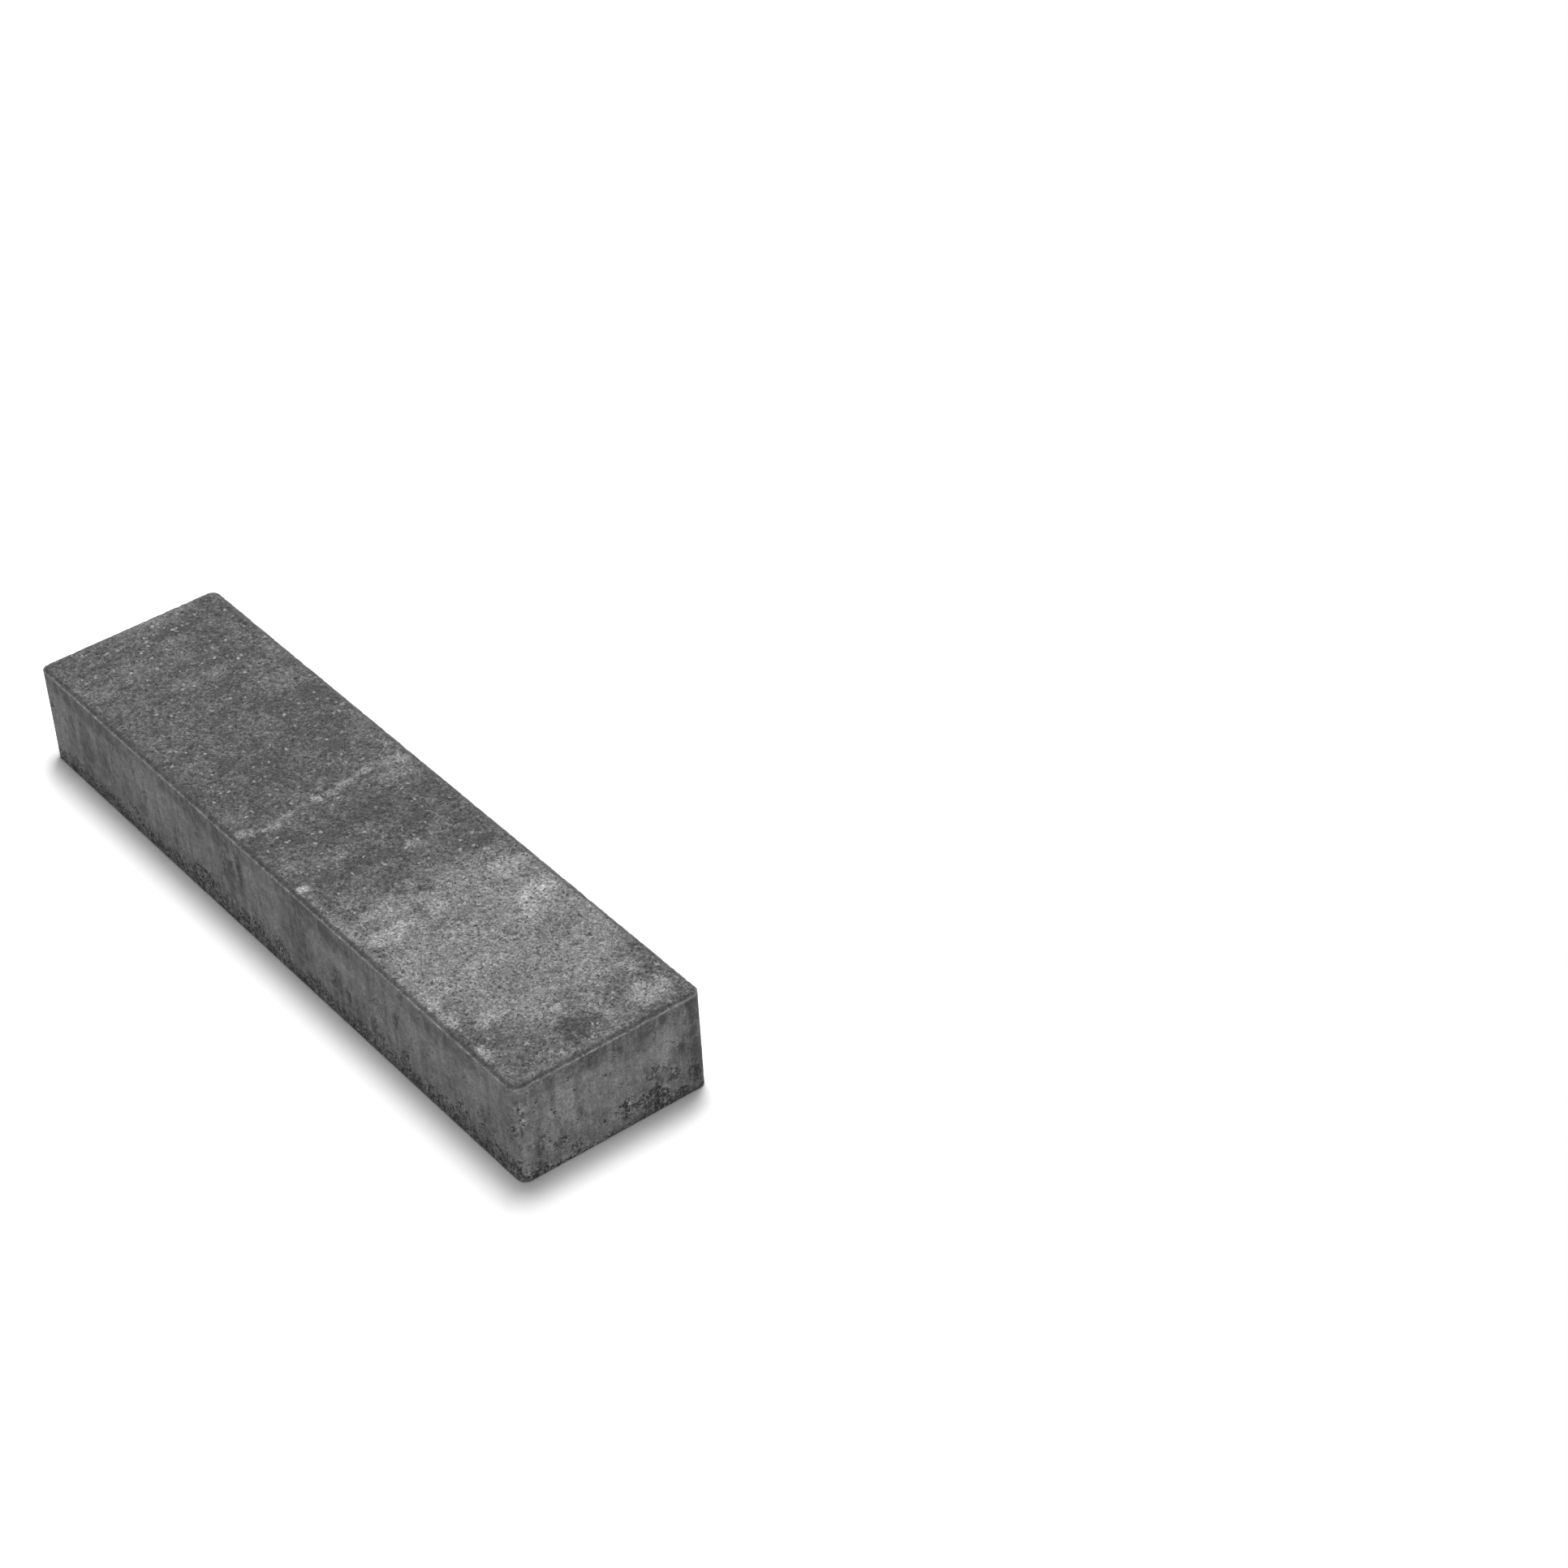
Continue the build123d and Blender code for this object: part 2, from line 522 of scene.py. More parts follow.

# %% [markdown]
# Drifts of the facing mix
#
# The press is fed with two facing mixes, a dark and a pale one, which are only half stirred together
# so that every stone differs. The feed box sweeps them across the stone, and they show as drifts. We
# paint them on the vertices as a value: 0 is the dark mix, 1 an even share of both, and 2 nearly all
# pale. Each oval gives its middle, its half sizes and its value. The material breaks up the rims.
# The ovals are listed here, and an image could hold them too, but values on the vertices need no
# unwrapping and go with the mesh.

# %% Drifts of the walking face, in millimetres
drifts_on_top = [
    # the dark part, with faint clouds in it
    (-292, 18, 10, 34, 0.4),
    (-271, 24, 8, 18, -0.6),
    (-238, 15, 8, 6, 0.24),
    (-221, 26, 9, 18, -0.6),
    (-208, 20, 7, 8, 0.4),
    (-209, -6, 8, 14, 0.35),
    (-244, -20, 22, 16, 0.12),
    (-238, -57, 8, 11, 0.16),
    (-216, -57, 6, 12, 0.2),
    (-204, 65, 12, 8, 0.2),
    (-172, 60, 18, 10, 0.16),
    (-187, 14, 9, 22, -0.16),
    (-185, -41, 9, 5, 0.24),
    (-172, 2, 8, 22, 0.1),
    (-148, -58, 22, 12, 0.12),
    (-128, 62, 26, 13, -0.3),
    (-146, 26, 14, 18, -0.35),
    (-111, -36, 16, 12, -0.4),
    (-204, -30, 8, 9, -0.4),
    (-114, 10, 7, 4, 0.36),
    (-103, 20, 3, 3, 0.48),
    (-74, 64, 18, 11, 0.14),
    (-74, 28, 14, 6, -0.16),
    (-70, -4, 9, 22, -0.12),
    (-100, 35, 24, 34, -0.25),
    (-84, -20, 16, 40, -0.15),
    # the pale streak across the stone
    (-34, 63, 6, 7, 1.0),
    (-23, 48, 9, 20, 0.5),
    (-36, 50, 5, 8, 0.6),
    (-39, 35, 4, 10, 1.2),
    (-37, 19, 4, 9, 1.2),
    (-36, 5, 4, 6, 0.8),
    (-35, -6, 5, 5, 1.4),
    (-35, -19, 3, 8, 0.6),
    (-33, -32, 4, 7, 1.2),
    (-29, -46, 5, 9, 1.1),
    (-33, -63, 7, 8, 0.9),
    # the dark middle
    (2, 8, 11, 62, -0.35),
    (52, 17, 9, 7, 0.7),
    (26, -30, 8, 26, 0.25),
    (18, -60, 10, 9, 0.4),
    (46, -66, 5, 5, 2.2),
    (40, 60, 24, 10, -0.3),
    (30, 26, 16, 18, -0.3),
    (-8, -43, 11, 10, -0.6),
    (-4, 38, 10, 9, -0.4),
    (46, -14, 8, 34, -0.35),
    (80, 54, 9, 14, -0.5),
    # the pale part, with its brightest patches
    (174, 0, 88, 110, 1.05),
    (148, 50, 10, 22, 2.0),
    (160, 40, 14, 9, 1.6),
    (114, 52, 14, 20, 1.7),
    (124, 27, 8, 6, 1.5),
    (112, -8, 22, 12, 1.25),
    (120, -46, 8, 22, 2.0),
    (99, -34, 12, 30, 1.1),
    (86, -8, 7, 9, 0.9),
    (76, -52, 10, 9, 0.6),
    (92, 40, 10, 24, 0.7),
    (236, 22, 14, 30, 1.1),
    (216, -66, 13, 6, 1.7),
    (92, -67, 34, 6, 0.8),
    (186, -20, 9, 22, 1.6),
    (188, -52, 12, 9, 1.7),
    (197, -64, 9, 7, 1.8),
    (232, -42, 9, 16, 1.5),
    (252, -6, 5, 5, 1.6),
    (218, 56, 14, 10, 1.1),
    (246, 52, 12, 9, 1.3),
    (138, -6, 9, 20, -0.35),
    (184, 42, 14, 18, -0.5),
    (212, -8, 14, 22, -0.3),
    # the far end
    (280, 0, 30, 80, 0.35),
    (278, 46, 13, 19, 1.5),
    (266, 14, 22, 8, 1.0),
    (276, -10, 15, 13, -0.65),
    (256, -66, 7, 4, 1.5),
]
print(f"{len(drifts_on_top)} drifts on the walking face")

# %% [markdown]
# Tones of the sides
#
# The facing mix is a layer 12 to 16 mm thick, and it shows on the sides as a darker band with a soft
# lower limit, strong in some places and missing in others. Below it the body mix is marked by upright
# smears from the mould wall, and a painted shadow darkens the right-hand part of the end. Here 0 is
# the body mix, negative values are darker and positive ones paler.

# %% Tones of the long side and of the end, in millimetres
tones_on_long_side = [
    # the facing band
    (0, 73, 310, 9, -0.5),
    (-238, 72, 50, 10, -1.4),
    (-190, 70, 20, 9, -0.7),
    (-100, 72, 32, 10, -1.2),
    (-52, 70, 26, 10, -1.0),
    (50, 71, 28, 11, -1.2),
    (86, 70, 26, 11, -1.1),
    (143, 74, 28, 8, 0.5),
    (194, 70, 22, 9, -0.9),
    (238, 71, 26, 8, -0.7),
    # upright smears
    (-264, 38, 10, 18, -0.9),
    (-241, 44, 12, 20, -1.1),
    (-218, 44, 9, 20, -0.9),
    (-190, 50, 14, 12, -0.3),
    (-82, 42, 4, 24, -0.5),
    (-46, 46, 12, 20, -0.6),
    (-31, 54, 5, 22, -1.3),
    (40, 44, 14, 34, -0.7),
    (83, 34, 12, 22, -0.8),
    # pale patches
    (-232, 52, 4, 9, 0.6),
    (-150, 50, 26, 24, 0.45),
    (-18, 54, 9, 20, 0.7),
    (4, 66, 24, 12, 0.4),
    (12, 34, 10, 10, 0.5),
    (94, 51, 18, 7, 1.1),
    (70, 50, 12, 6, 0.7),
    (180, 46, 10, 20, 0.5),
    (216, 50, 20, 12, 0.6),
    (258, 50, 16, 14, 0.5),
]
tones_on_end = [
    # the facing band
    (0, 72, 80, 10, -1.0),
    (18, 63, 20, 10, -1.0),
    (-41, 72, 7, 6, -0.9),
    (-20, 72, 12, 7, -0.5),
    (8, 69, 16, 9, -0.8),
    (25, 71, 11, 10, -1.1),
    (48, 73, 18, 6, -0.7),
    # smears
    (-27, 44, 4, 24, -0.5),
    (15, 47, 10, 10, -0.4),
    (-14, 20, 16, 14, -0.4),
    (14, 28, 10, 16, -0.8),
    # a painted shadow over the right-hand part of the end
    (78, 40, 30, 74, -1.1),
    # pale patches
    (-60, 60, 10, 20, 0.4),
    (0, 42, 62, 36, 0.75),
    (-37, 50, 8, 22, 0.8),
    (-11, 52, 9, 18, 0.5),
    (42, 44, 9, 12, 0.5),
    (55, 62, 8, 10, 0.3),
    (-30, 3, 26, 5, 0.9),
    (41, 17, 5, 5, 1.2),
]
print(f"{len(tones_on_long_side) + len(tones_on_end)} tones on the sides")

# %% [markdown]
# From ovals to one value
#
# The feed box never moves quite straight, so a slow noise shifts the drifts of the top to and fro by
# up to 5 mm, and a streak of several ovals becomes one meandering line. Faint clouds of two sizes lie
# over everything. A place belongs to the top if its normal lies within 60 degrees of upright.

# %% Drift of every vertex
sweep, sweep_size = 5.0, 15
cloud_tone, cloud_size = 0.35, 26
puff_tone, puff_size = 0.25, 10
faces_up = math.cos(math.radians(60))


def drift_of(place, direction):
    """Paleness at a place: the drifts on top, the tones and a painted shadow on the sides."""
    clouds = cloud_tone * wobble(place, cloud_size, seed=43.0)
    clouds += puff_tone * wobble(place, puff_size, seed=47.0)
    if direction[2] > faces_up:
        swept = place[0] + sweep * wobble(place, sweep_size, seed=53.0)
        return clouds + ragged_ovals(swept, place[1], drifts_on_top)
    if direction[2] < -faces_up:
        return 0.0
    along, is_end = along_side(place, direction)
    return clouds + ragged_ovals(along, place[2], tones_on_end if is_end else tones_on_long_side)


drift = [drift_of(place, direction) for place, direction in zip(smooth_points, outward.tolist())]
print(f"drifts from {min(drift):.1f} to {max(drift):.1f}")

# %% [markdown]
# Values for the material
#
# An attribute of the mesh carries a value per vertex into the material, where an Attribute node reads
# it by name.

# %% Store the values on the mesh
vertex_values = {"hollow": hollow, "openness": openness, "from_arris": from_arris, "drift": drift}
for name, values in vertex_values.items():
    layer = stone_mesh.attributes.new(name, "FLOAT", "POINT")
    layer.data.foreach_set("value", np.asarray(values, dtype=np.float32))
print(f"mesh attributes: {', '.join(vertex_values)}")

# %% [markdown]
# Colours and nodes
#
# Colours are written as the hex values a screen shows. Blender's nodes reckon in linear light, so
# one function turns the one into the other. A second adds a node to a material with its settings and
# its links, which keeps the long material below readable.

# %% Colour and node helpers


def linear(hex_colour):
    """An sRGB hex colour as linear red, green, blue and alpha."""
    parts = [int(hex_colour[i:i + 2], 16) / 255 for i in (1, 3, 5)]
    return [c / 12.92 if c <= 0.04045 else ((c + 0.055) / 1.055) ** 2.4 for c in parts] + [1.0]


def add_node(tree, kind, settings=None, links=None):
    """Adds a node, sets its properties and input values, and links other nodes to its inputs."""
    node = tree.nodes.new(kind)
    for name, value in (settings or {}).items():
        if isinstance(name, str) and hasattr(node, name):
            setattr(node, name, value)
        else:
            node.inputs[name].default_value = value
    for name, source in (links or {}).items():
        output = source.outputs[0] if isinstance(source, bpy.types.Node) else source
        tree.links.new(output, node.inputs[name])
    return node


print(f"middle grey #808080 is {linear('#808080')[0]:.3f} in linear light")

# %% [markdown]
# Vibro-pressed concrete
#
# The material is named for what it is: semi-dry concrete, shaken and pressed in a steel mould, and
# pushed out at once. The eye sees a matte, colourless grey that is rough at every scale, with no
# highlight. One material covers the whole stone, because it set as one piece: it mixes a facing
# colour for the top with a body colour for the sides.
#
# All patterns are laid out in the stone's own millimetres, so a noise of scale 1/7 has lumps 7 mm
# across. The values painted on the mesh come in through Attribute nodes.

# %% Start the material and read the mesh values
concrete = bpy.data.materials.new("vibro_pressed_concrete")
concrete.use_nodes = True
tree = concrete.node_tree
tree.nodes.clear()

place = add_node(tree, "ShaderNodeTexCoord").outputs["Object"]
place_mm = add_node(tree, "ShaderNodeVectorMath", {"operation": "SCALE", "Scale": 1 / MM}, {0: place})
painted = {}
for name in vertex_values:
    painted[name] = add_node(tree, "ShaderNodeAttribute", {"attribute_name": name}).outputs["Fac"]
print(f"material {concrete.name} reads {len(painted)} painted values")

# %% [markdown]
# Grains
#
# Concrete is grains in paste, and a Voronoi pattern stands in for them well: every cell is one grain
# with three random numbers of its own. Red gives its tone and green says whether the grain is missing.
# Blue says which mix a grain of grit came with, and how pale a loose grain of sand is. There are two
# sizes, sand of 1.1 mm and grit of 2 mm. A noise with waves of 1.25 mm bends the cells first, because
# grains are not polygons.

# %% Two sizes of grain
sand_size = 1.1
grit_size = 2.0
bend = (1.2, 1.2, 1.2)
bend_size = 1.25

bend_noise = add_node(tree, "ShaderNodeTexNoise", {"Scale": 1 / bend_size}, {"Vector": place_mm})
bent_mm = add_node(tree, "ShaderNodeVectorMath", {"operation": "MULTIPLY_ADD", 1: bend},
                   {0: bend_noise.outputs["Color"], 2: place_mm})
sand = add_node(tree, "ShaderNodeTexVoronoi", {"Scale": 1 / sand_size}, {"Vector": bent_mm})
sand_random = add_node(tree, "ShaderNodeSeparateColor", links={0: sand.outputs["Color"]})
grit = add_node(tree, "ShaderNodeTexVoronoi", {"Scale": 1 / grit_size}, {"Vector": bent_mm})
grit_random = add_node(tree, "ShaderNodeSeparateColor", links={0: grit.outputs["Color"]})
print(f"sand {sand_size} mm, grit {grit_size} mm")

# %% [markdown]
# The two facing mixes
#
# Dark and pale mix meet in clumps and single grains, not in a smooth blend. To the painted drift we
# add a noise of clumps about 5 mm across and the random number of each grit grain, and turn the sum
# into a share of pale mix. Where the drift is near nought the dark mix is almost pure, with a paler
# grain here and there.

# %% Mix the facing colours
clump_size = 5.0
clump_weight = 1.3
grain_weight = 0.7
all_dark, all_pale = -0.30, 2.4
dark_mix = "#4E4E4E"
pale_mix = "#B8B8B8"

clumps = add_node(tree, "ShaderNodeTexNoise",
                  {"Scale": 1 / clump_size, "Detail": 3.0, "Roughness": 0.6}, {"Vector": place_mm})
paleness = add_node(tree, "ShaderNodeMath", {"operation": "MULTIPLY_ADD", 1: clump_weight},
                    {0: clumps, 2: painted["drift"]})
paleness = add_node(tree, "ShaderNodeMath", {"operation": "MULTIPLY_ADD", 1: grain_weight},
                    {0: grit_random.outputs["Blue"], 2: paleness})
no_drift = 0.5 * (clump_weight + grain_weight)
pale_share = add_node(tree, "ShaderNodeMapRange",
                      {"From Min": no_drift + all_dark, "From Max": no_drift + all_pale},
                      {"Value": paleness})
facing = add_node(tree, "ShaderNodeMix", {"data_type": "RGBA", 6: linear(dark_mix), 7: linear(pale_mix)},
                  {0: pale_share}).outputs[2]
print(f"facing mixes {dark_mix} and {pale_mix}, clumps {clump_size} mm")

# %% [markdown]
# Sand and pits of the walking face
#
# The press shoe leaves the sand bare, each grain with a tone of its own. We square the random number,
# so that most grains are dull and a few are bright. Where a grain came away with the shoe, it left a
# pit, dark because light hardly gets in. Pits are few in the dark mix and more common in the pale
# one, which was drier.

# %% Tone of the sand and the pits
sand_tones = {"To Min": 0.74, "To Max": 1.70}
pit_odds = {"To Min": 0.075, "To Max": 0.13}
fewest_pits, most_pits = -0.2, 1.6
pit_shade = 0.35

squared = add_node(tree, "ShaderNodeMath", {"operation": "MULTIPLY"},
                   {0: sand_random.outputs["Red"], 1: sand_random.outputs["Red"]})
sand_tone = add_node(tree, "ShaderNodeMapRange", sand_tones, {"Value": squared})
missing_share = add_node(tree, "ShaderNodeMapRange",
                         {"From Min": no_drift + fewest_pits, "From Max": no_drift + most_pits} | pit_odds,
                         {"Value": paleness})
is_pit = add_node(tree, "ShaderNodeMath", {"operation": "LESS_THAN"},
                  {0: sand_random.outputs["Green"], 1: missing_share})
pit_tone = add_node(tree, "ShaderNodeMapRange", {"To Min": 1.0, "To Max": pit_shade}, {"Value": is_pit})
facing_shade = add_node(tree, "ShaderNodeMath", {"operation": "MULTIPLY"}, {0: pit_tone, 1: sand_tone})
facing = add_node(tree, "ShaderNodeVectorMath", {"operation": "SCALE"}, {0: facing, "Scale": facing_shade})
print(f"up to {pit_odds['To Max']:.0%} of the sand grains are missing")

# %% [markdown]
# Quartz
#
# One grit grain in forty is pale quartz. A thin film of paste lies on most of them, so only a few show
# nearly their full colour.

# %% Quartz grains
quartz = "#B8B8B8"
quartz_odds = {"From Min": 0.975, "From Max": 1.0, "To Max": 0.9}
is_quartz = add_node(tree, "ShaderNodeMapRange", quartz_odds, {"Value": grit_random.outputs["Red"]})
facing = add_node(tree, "ShaderNodeMix", {"data_type": "RGBA", 7: linear(quartz)},
                  {0: is_quartz, 6: facing}).outputs[2]
print(f"quartz {quartz}")

# %% [markdown]
# The sides
#
# The mould wall smears the paste upright as the stone is pushed out. A noise whose height is squeezed
# makes smears 8 mm wide and 50 mm tall, and its finer octaves make streaks down to half a millimetre.
# A plain mottle lies under them. Both add to the painted tone, open mix takes a little away, because
# its hollows hold less light, and the sum picks the colour.

# %% Colour of the sides
smear_width = 8.0
mottle_size = 6.0
squeeze = (1.0, 1.0, 0.15)
painted_weight = 0.33
open_weight = -0.22
tone_reach = 0.5
side_dark = "#3D3D3D"
side_pale = "#969696"

upright_mm = add_node(tree, "ShaderNodeVectorMath", {"operation": "MULTIPLY", 1: squeeze}, {0: place_mm})
smears = add_node(tree, "ShaderNodeTexNoise",
                  {"Scale": 1 / smear_width, "Detail": 4.0, "Roughness": 0.8}, {"Vector": upright_mm})
mottle = add_node(tree, "ShaderNodeTexNoise",
                  {"Scale": 1 / mottle_size, "Detail": 4.0, "Roughness": 0.65}, {"Vector": place_mm})

side_tone = add_node(tree, "ShaderNodeMath", {"operation": "MULTIPLY", 1: painted_weight},
                     {0: painted["drift"]})
side_marks = {smears: 1.6, mottle: 1.2}
for marks, weight in side_marks.items():
    side_tone = add_node(tree, "ShaderNodeMath", {"operation": "MULTIPLY_ADD", 1: weight},
                         {0: marks, 2: side_tone})
side_tone = add_node(tree, "ShaderNodeMath", {"operation": "MULTIPLY_ADD", 1: open_weight},
                     {0: painted["openness"], 2: side_tone})
even_tone = 0.5 * sum(side_marks.values())
side_share = add_node(tree, "ShaderNodeMapRange",
                      {"From Min": even_tone - tone_reach, "From Max": even_tone + tone_reach},
                      {"Value": side_tone})
side = add_node(tree, "ShaderNodeMix", {"data_type": "RGBA", 6: linear(side_dark), 7: linear(side_pale)},
                {0: side_share}).outputs[2]
print(f"smears {smear_width} mm and mottle {mottle_size} mm wide")

# %% [markdown]
# Gaps in the open mix
#
# Where the mix is open, grains are missing, and each leaves a gap, painted near black as the shade in
# it. The painted openness plus the mottle says how many: hardly any on the filled wall, and up to six
# in ten of the sand along the foot. Grit holds better, so fewer of its grains are gone. The grains
# that stayed stand free there, so their tones differ more than on the smeared wall.

# %% Darken the gaps
gap_odds = {"To Min": 0.006, "To Max": 0.6}
gap_levels = {"From Min": 2.05, "From Max": 2.85}
gap_mottle = 3.0
grit_missing = 0.4
# painted shade: how dark a gap is, for the shade inside it
gap_shade = 0.10

open_level = add_node(tree, "ShaderNodeMath", {"operation": "MULTIPLY_ADD", 1: gap_mottle},
                      {0: mottle, 2: painted["openness"]})
gap_share = add_node(tree, "ShaderNodeMapRange", gap_levels | gap_odds, {"Value": open_level})
sand_gap = add_node(tree, "ShaderNodeMath", {"operation": "LESS_THAN"},
                    {0: sand_random.outputs["Green"], 1: gap_share})
grit_share = add_node(tree, "ShaderNodeMath", {"operation": "MULTIPLY", 1: grit_missing},
                      {0: gap_share})
grit_gap = add_node(tree, "ShaderNodeMath", {"operation": "LESS_THAN"},
                    {0: grit_random.outputs["Green"], 1: grit_share})
is_gap = add_node(tree, "ShaderNodeMath", {"operation": "MAXIMUM"}, {0: sand_gap, 1: grit_gap})
gap_tone = add_node(tree, "ShaderNodeMapRange", {"To Min": 1.0, "To Max": gap_shade}, {"Value": is_gap})
print(f"up to {gap_odds['To Max']:.0%} of the sand grains are missing where the mix is open")

# %% Tone of the grains in the sides
wall_sand_tones = {"To Min": 0.65, "To Max": 1.35}
free_sand_tones = {"To Min": -0.4, "To Max": 1.3}
free_grit_tones = {"To Min": -0.6, "To Max": 0.6}

side_sand = add_node(tree, "ShaderNodeMapRange", wall_sand_tones, {"Value": sand_random.outputs["Red"]})
free_sand = add_node(tree, "ShaderNodeMapRange", free_sand_tones, {"Value": sand_random.outputs["Blue"]})
free_grit = add_node(tree, "ShaderNodeMapRange", free_grit_tones, {"Value": grit_random.outputs["Red"]})
free_grain = add_node(tree, "ShaderNodeMath", {"operation": "ADD"}, {0: free_sand, 1: free_grit})
side_grain = add_node(tree, "ShaderNodeMath", {"operation": "MULTIPLY_ADD"},
                      {0: free_grain, 1: painted["openness"], 2: side_sand})
side_shade = add_node(tree, "ShaderNodeMath", {"operation": "MULTIPLY"}, {0: gap_tone, 1: side_grain})
side = add_node(tree, "ShaderNodeVectorMath", {"operation": "SCALE"}, {0: side, "Scale": side_shade})
print(f"sand on the filled wall varies by {wall_sand_tones['To Max'] - 1:.0%}")

# %% [markdown]
# The pressed edge
#
# Two things show from the arris inwards. The lip is pale, because fine paste rose there and broke off
# rough. The bevel is darker than both faces, partly because the shoe's rim pressed it smooth and wet,
# and partly as painted shade, for its slope turns away from the light. A colour ramp along the painted
# distance from the arris holds that profile: its colour is that of the paste with that painted shade,
# and its alpha is how far it covers the grain. A noise shifts it to and fro by a third of a
# millimetre, so that no line is ruled. The clumps of the mix and the grit vary its brightness, so
# that the lip looks broken and not painted on.

# %% Paste and painted shade of the pressed edge
edge_profile = [
    # distance in from the arris in millimetres, colour, cover
    (-1.3, "#747474", 0.0),
    (-0.4, "#929292", 0.7),
    (0.3, "#929292", 0.7),
    (1.0, "#6A6A6A", 0.6),
    # the bevel: pressed paste, darkened further as painted shade
    (1.6, "#4E4E4E", 0.8),
    (2.9, "#4E4E4E", 0.65),
    (4.2, "#6A6A6A", 0.0),
]
ramp_start, ramp_end = -2.0, 5.0
rag_size = 2.0
rag = 2.2
clump_brightness = 2.0
edge_grit_tones = {"To Min": 0.55, "To Max": 1.45}

ragged = add_node(tree, "ShaderNodeTexNoise", {"Scale": 1 / rag_size, "Detail": 2.0}, {"Vector": place_mm})
shifted = add_node(tree, "ShaderNodeMath", {"operation": "MULTIPLY_ADD", 1: rag},
                   {0: ragged, 2: painted["from_arris"]})
along_ramp = add_node(tree, "ShaderNodeMapRange",
                      {"From Min": ramp_start + rag / 2, "From Max": ramp_end + rag / 2}, {"Value": shifted})
edge_paste_and_shade = add_node(tree, "ShaderNodeValToRGB", links={"Fac": along_ramp})
stops = edge_paste_and_shade.color_ramp.elements
while len(stops) < len(edge_profile):
    stops.new(0.5)
for stop, (distance, paste, cover) in zip(stops, edge_profile):
    stop.position = (distance - ramp_start) / (ramp_end - ramp_start)
    stop.color = linear(paste)[:3] + [cover]
patchy = add_node(tree, "ShaderNodeMath", {"operation": "MULTIPLY", 1: clump_brightness}, {0: clumps})
edge_grain = add_node(tree, "ShaderNodeMapRange", edge_grit_tones, {"Value": grit_random.outputs["Red"]})
patchy = add_node(tree, "ShaderNodeMath", {"operation": "MULTIPLY"}, {0: patchy, 1: edge_grain})
edge_colour = add_node(tree, "ShaderNodeVectorMath", {"operation": "SCALE"},
                       {0: edge_paste_and_shade.outputs["Color"], "Scale": patchy})
print(f"{len(stops)} stops across the pressed edge")

# %% [markdown]
# Putting the colours together
#
# The facing colour covers all that lies in over the arris, and the side colour all that lies below
# it. The paste of the pressed edge goes over both, and painted shade darkens the hollows that were
# cut into the mesh, whichever colour is there.

# %% Colour of the whole stone
arris_blend = 0.3
# painted shade: the colour left in the deepest hollow
painted_hollow_shade = 0.45

on_top = add_node(tree, "ShaderNodeMapRange", {"From Min": -arris_blend, "From Max": arris_blend},
                  {"Value": painted["from_arris"]})
colour = add_node(tree, "ShaderNodeMix", {"data_type": "RGBA"}, {0: on_top, 6: side, 7: facing}).outputs[2]
colour = add_node(tree, "ShaderNodeMix", {"data_type": "RGBA"},
                  {0: edge_paste_and_shade.outputs["Alpha"], 6: colour, 7: edge_colour}).outputs[2]
hollow_shade = add_node(tree, "ShaderNodeMapRange", {"To Min": 1.0, "To Max": painted_hollow_shade},
                        {"Value": painted["hollow"]})
colour = add_node(tree, "ShaderNodeVectorMath", {"operation": "SCALE"}, {0: colour, "Scale": hollow_shade})
print("facing and side colours joined at the arris")

# %% [markdown]
# Fine relief and gloss
#
# Relief finer than the mesh comes from a bump map: sand grains as small domes, with the missing
# grains sunk, in one height of up to a third of a millimetre. Dry cement paste has an IOR of about
# 1.5, and it is so rough that no highlight forms: roughness 0.95 on the bare sand of the top, and
# 0.75 on the skin of paste that the mould wall smoothed on the sides.

# %% Finish the stone's material
fine_relief = 0.30 * MM
side_roughness, top_roughness = 0.75, 0.95
paste_ior = 1.5

height = add_node(tree, "ShaderNodeMath", {"operation": "ADD"}, {0: pit_tone, 1: gap_tone})
height = add_node(tree, "ShaderNodeMath", {"operation": "SUBTRACT"}, {0: height, 1: sand.outputs["Distance"]})
bump = add_node(tree, "ShaderNodeBump", {"Strength": 1.0, "Distance": fine_relief}, {"Height": height})
gloss = add_node(tree, "ShaderNodeMapRange", {"To Min": side_roughness, "To Max": top_roughness},
                 {"Value": on_top})
surface = add_node(tree, "ShaderNodeBsdfPrincipled", {"IOR": paste_ior},
                   {"Base Color": colour, "Roughness": gloss, "Normal": bump})
add_node(tree, "ShaderNodeOutputMaterial", links={"Surface": surface})
stone_mesh.materials.append(concrete)
print(f"{concrete.name}: {len(tree.nodes)} nodes")

# %% [markdown]
# The floor
#
# The stone stands on white paper, 8 m square, which lies just under the bed face.

# %% Lay the floor
floor_half = 4.0
floor_gap = 0.2 * MM
corners = [(-1, -1), (1, -1), (1, 1), (-1, 1)]
floor_mesh = bpy.data.meshes.new("white_floor")
floor_mesh.from_pydata([(x * floor_half, y * floor_half, -floor_gap) for x, y in corners], [], [(0, 1, 2, 3)])
white_floor = bpy.data.objects.new("white_floor", floor_mesh)
bpy.context.scene.collection.objects.link(white_floor)
print(f"floor {2 * floor_half:.0f} m square")

# %% [markdown]
# White paper
#
# In the photograph the paper is burnt out to pure white, and only a soft shadow near the stone is left
# of it. We could get that by turning up the lamps, but then the stone would burn out too. So the paper
# is ordinary white paper to the light that falls on it and bounces to the stone, and somewhat brighter
# than white to the eye, which keeps the shadow. Far from the stone the lamps grow weak, and there the
# eye sees plain white.

# %% Make the paper


def seen_directly(tree):
    """1 for rays that carry what the eye sees: from the camera, off gloss or through glass."""
    path = add_node(tree, "ShaderNodeLightPath")
    seen = add_node(tree, "ShaderNodeMath", {"operation": "MAXIMUM"},
                    {0: path.outputs["Is Camera Ray"], 1: path.outputs["Is Glossy Ray"]})
    return add_node(tree, "ShaderNodeMath", {"operation": "MAXIMUM"},
                    {0: seen, 1: path.outputs["Is Transmission Ray"]})


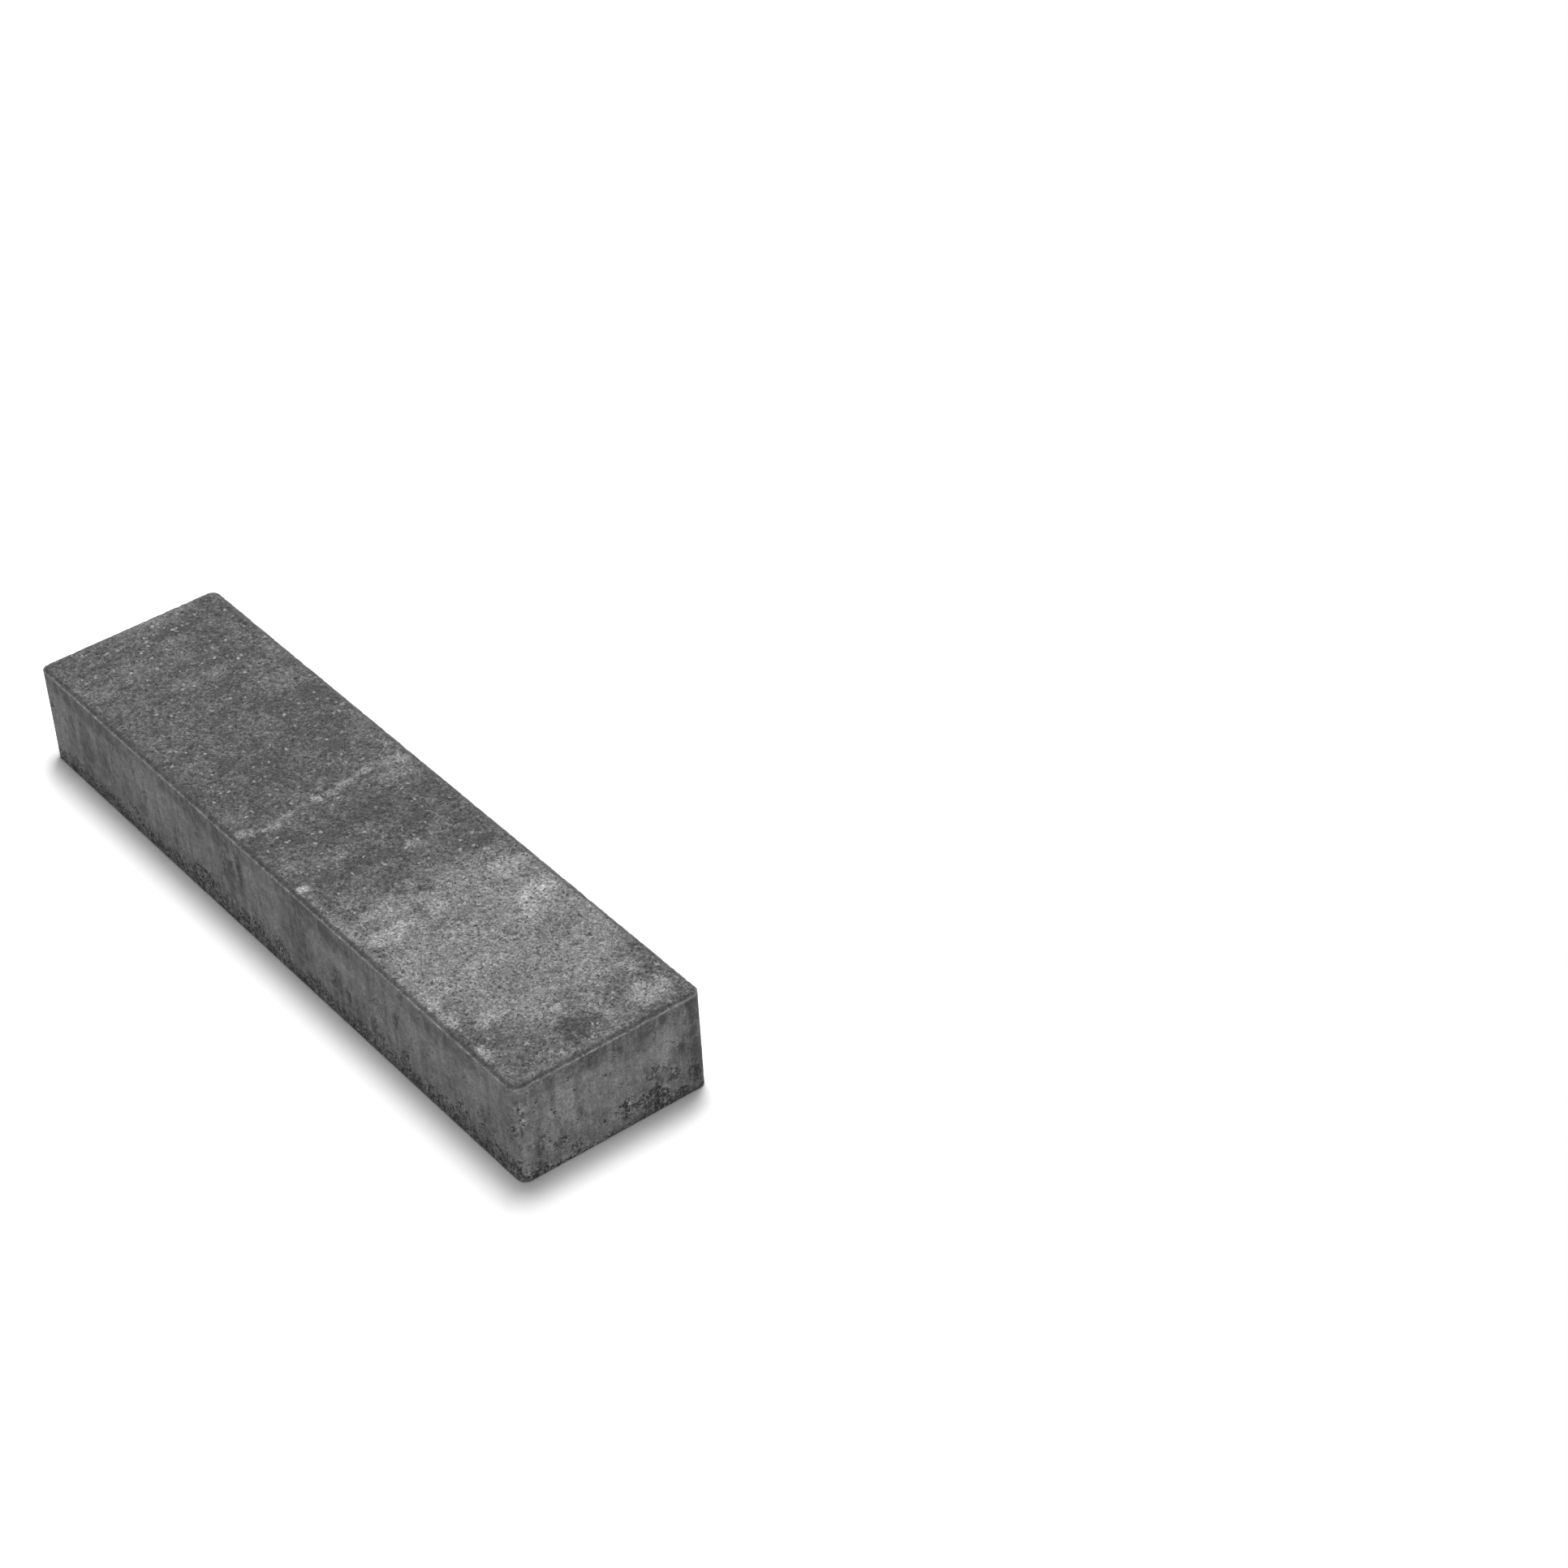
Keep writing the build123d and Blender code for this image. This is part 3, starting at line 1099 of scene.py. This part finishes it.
white_paper = "#F2F2F2"
burnt_out = (1.5, 1.5, 1.5, 1.0)
shadow_fades = {"From Min": 0.5, "From Max": 0.8}
paper = bpy.data.materials.new("white_paper")
paper.use_nodes = True
tree = paper.node_tree
tree.nodes.clear()
for_light = add_node(tree, "ShaderNodeBsdfDiffuse", {"Color": linear(white_paper)})
lit = add_node(tree, "ShaderNodeBsdfDiffuse", {"Color": burnt_out})
plain_white = add_node(tree, "ShaderNodeEmission", {"Color": linear("#FFFFFF"), "Strength": 1.0})
spot = add_node(tree, "ShaderNodeTexCoord").outputs["Object"]
distance = add_node(tree, "ShaderNodeVectorMath", {"operation": "LENGTH"}, {0: spot}).outputs["Value"]
far = add_node(tree, "ShaderNodeMapRange", shadow_fades, {"Value": distance})
for_eye = add_node(tree, "ShaderNodeMixShader", links={0: far, 1: lit, 2: plain_white})
both = add_node(tree, "ShaderNodeMixShader", links={0: seen_directly(tree), 1: for_light, 2: for_eye})
add_node(tree, "ShaderNodeOutputMaterial", links={"Surface": both})
floor_mesh.materials.append(paper)
print(f"paper {white_paper} to the light, {burnt_out[0]} to the eye")

# %% [markdown]
# The room
#
# An even white room gives about a sixth of the light. It shows as pure white behind the stone.

# %% World
room_level = 0.15
world = bpy.data.worlds.new("white_room")
bpy.context.scene.world = world
world.use_nodes = True
tree = world.node_tree
tree.nodes.clear()
strength = add_node(tree, "ShaderNodeMapRange", {"To Min": room_level, "To Max": 1.0},
                    {"Value": seen_directly(tree)})
background = add_node(tree, "ShaderNodeBackground", {"Color": linear("#FFFFFF")}, {"Strength": strength})
add_node(tree, "ShaderNodeOutputWorld", links={"Surface": background})
print(f"room light {room_level}")

# %% [markdown]
# The lamps
#
# The shadow in the photograph is soft. It is darkest right at the foot and ends about 30 mm out on the
# two sides that face us, less than half the stone's height. So the main light hangs almost overhead, a
# little behind and to the left, and is large. A second one, farther behind, shines across the top and
# brings out its grain. The third is weak and stands low in front: it opens the sides, and as it meets
# the floor at a flat angle, it hardly lightens the shadow.

# %% Soft boxes


def soft_box(name, place, size, level):
    """A square lamp aimed at the stone; level is the light it alone gives a white face aimed at it."""
    data = bpy.data.lights.new(name, "AREA")
    data.shape = "SQUARE"
    data.size = size
    data.energy = level * math.pi ** 2 * Vector(place).length ** 2
    lamp = bpy.data.objects.new(name, data)
    lamp.location = place
    lamp.rotation_euler = (-Vector(place)).to_track_quat("-Z", "Y").to_euler()
    bpy.context.scene.collection.objects.link(lamp)
    print(f"{name}: {data.energy:.1f} W")


soft_box("overhead_soft_box", place=(-0.22, 0.35, 2.4), size=0.85, level=0.62)
soft_box("rear_soft_box", place=(-1.5, 1.5, 1.25), size=1.4, level=0.30)
soft_box("front_soft_box", place=(2.7, -1.0, 0.45), size=0.8, level=0.18)

# %% [markdown]
# Colour view
#
# The Standard view shows colours as they are written.

# %% Colour view
bpy.context.scene.view_settings.view_transform = "Standard"
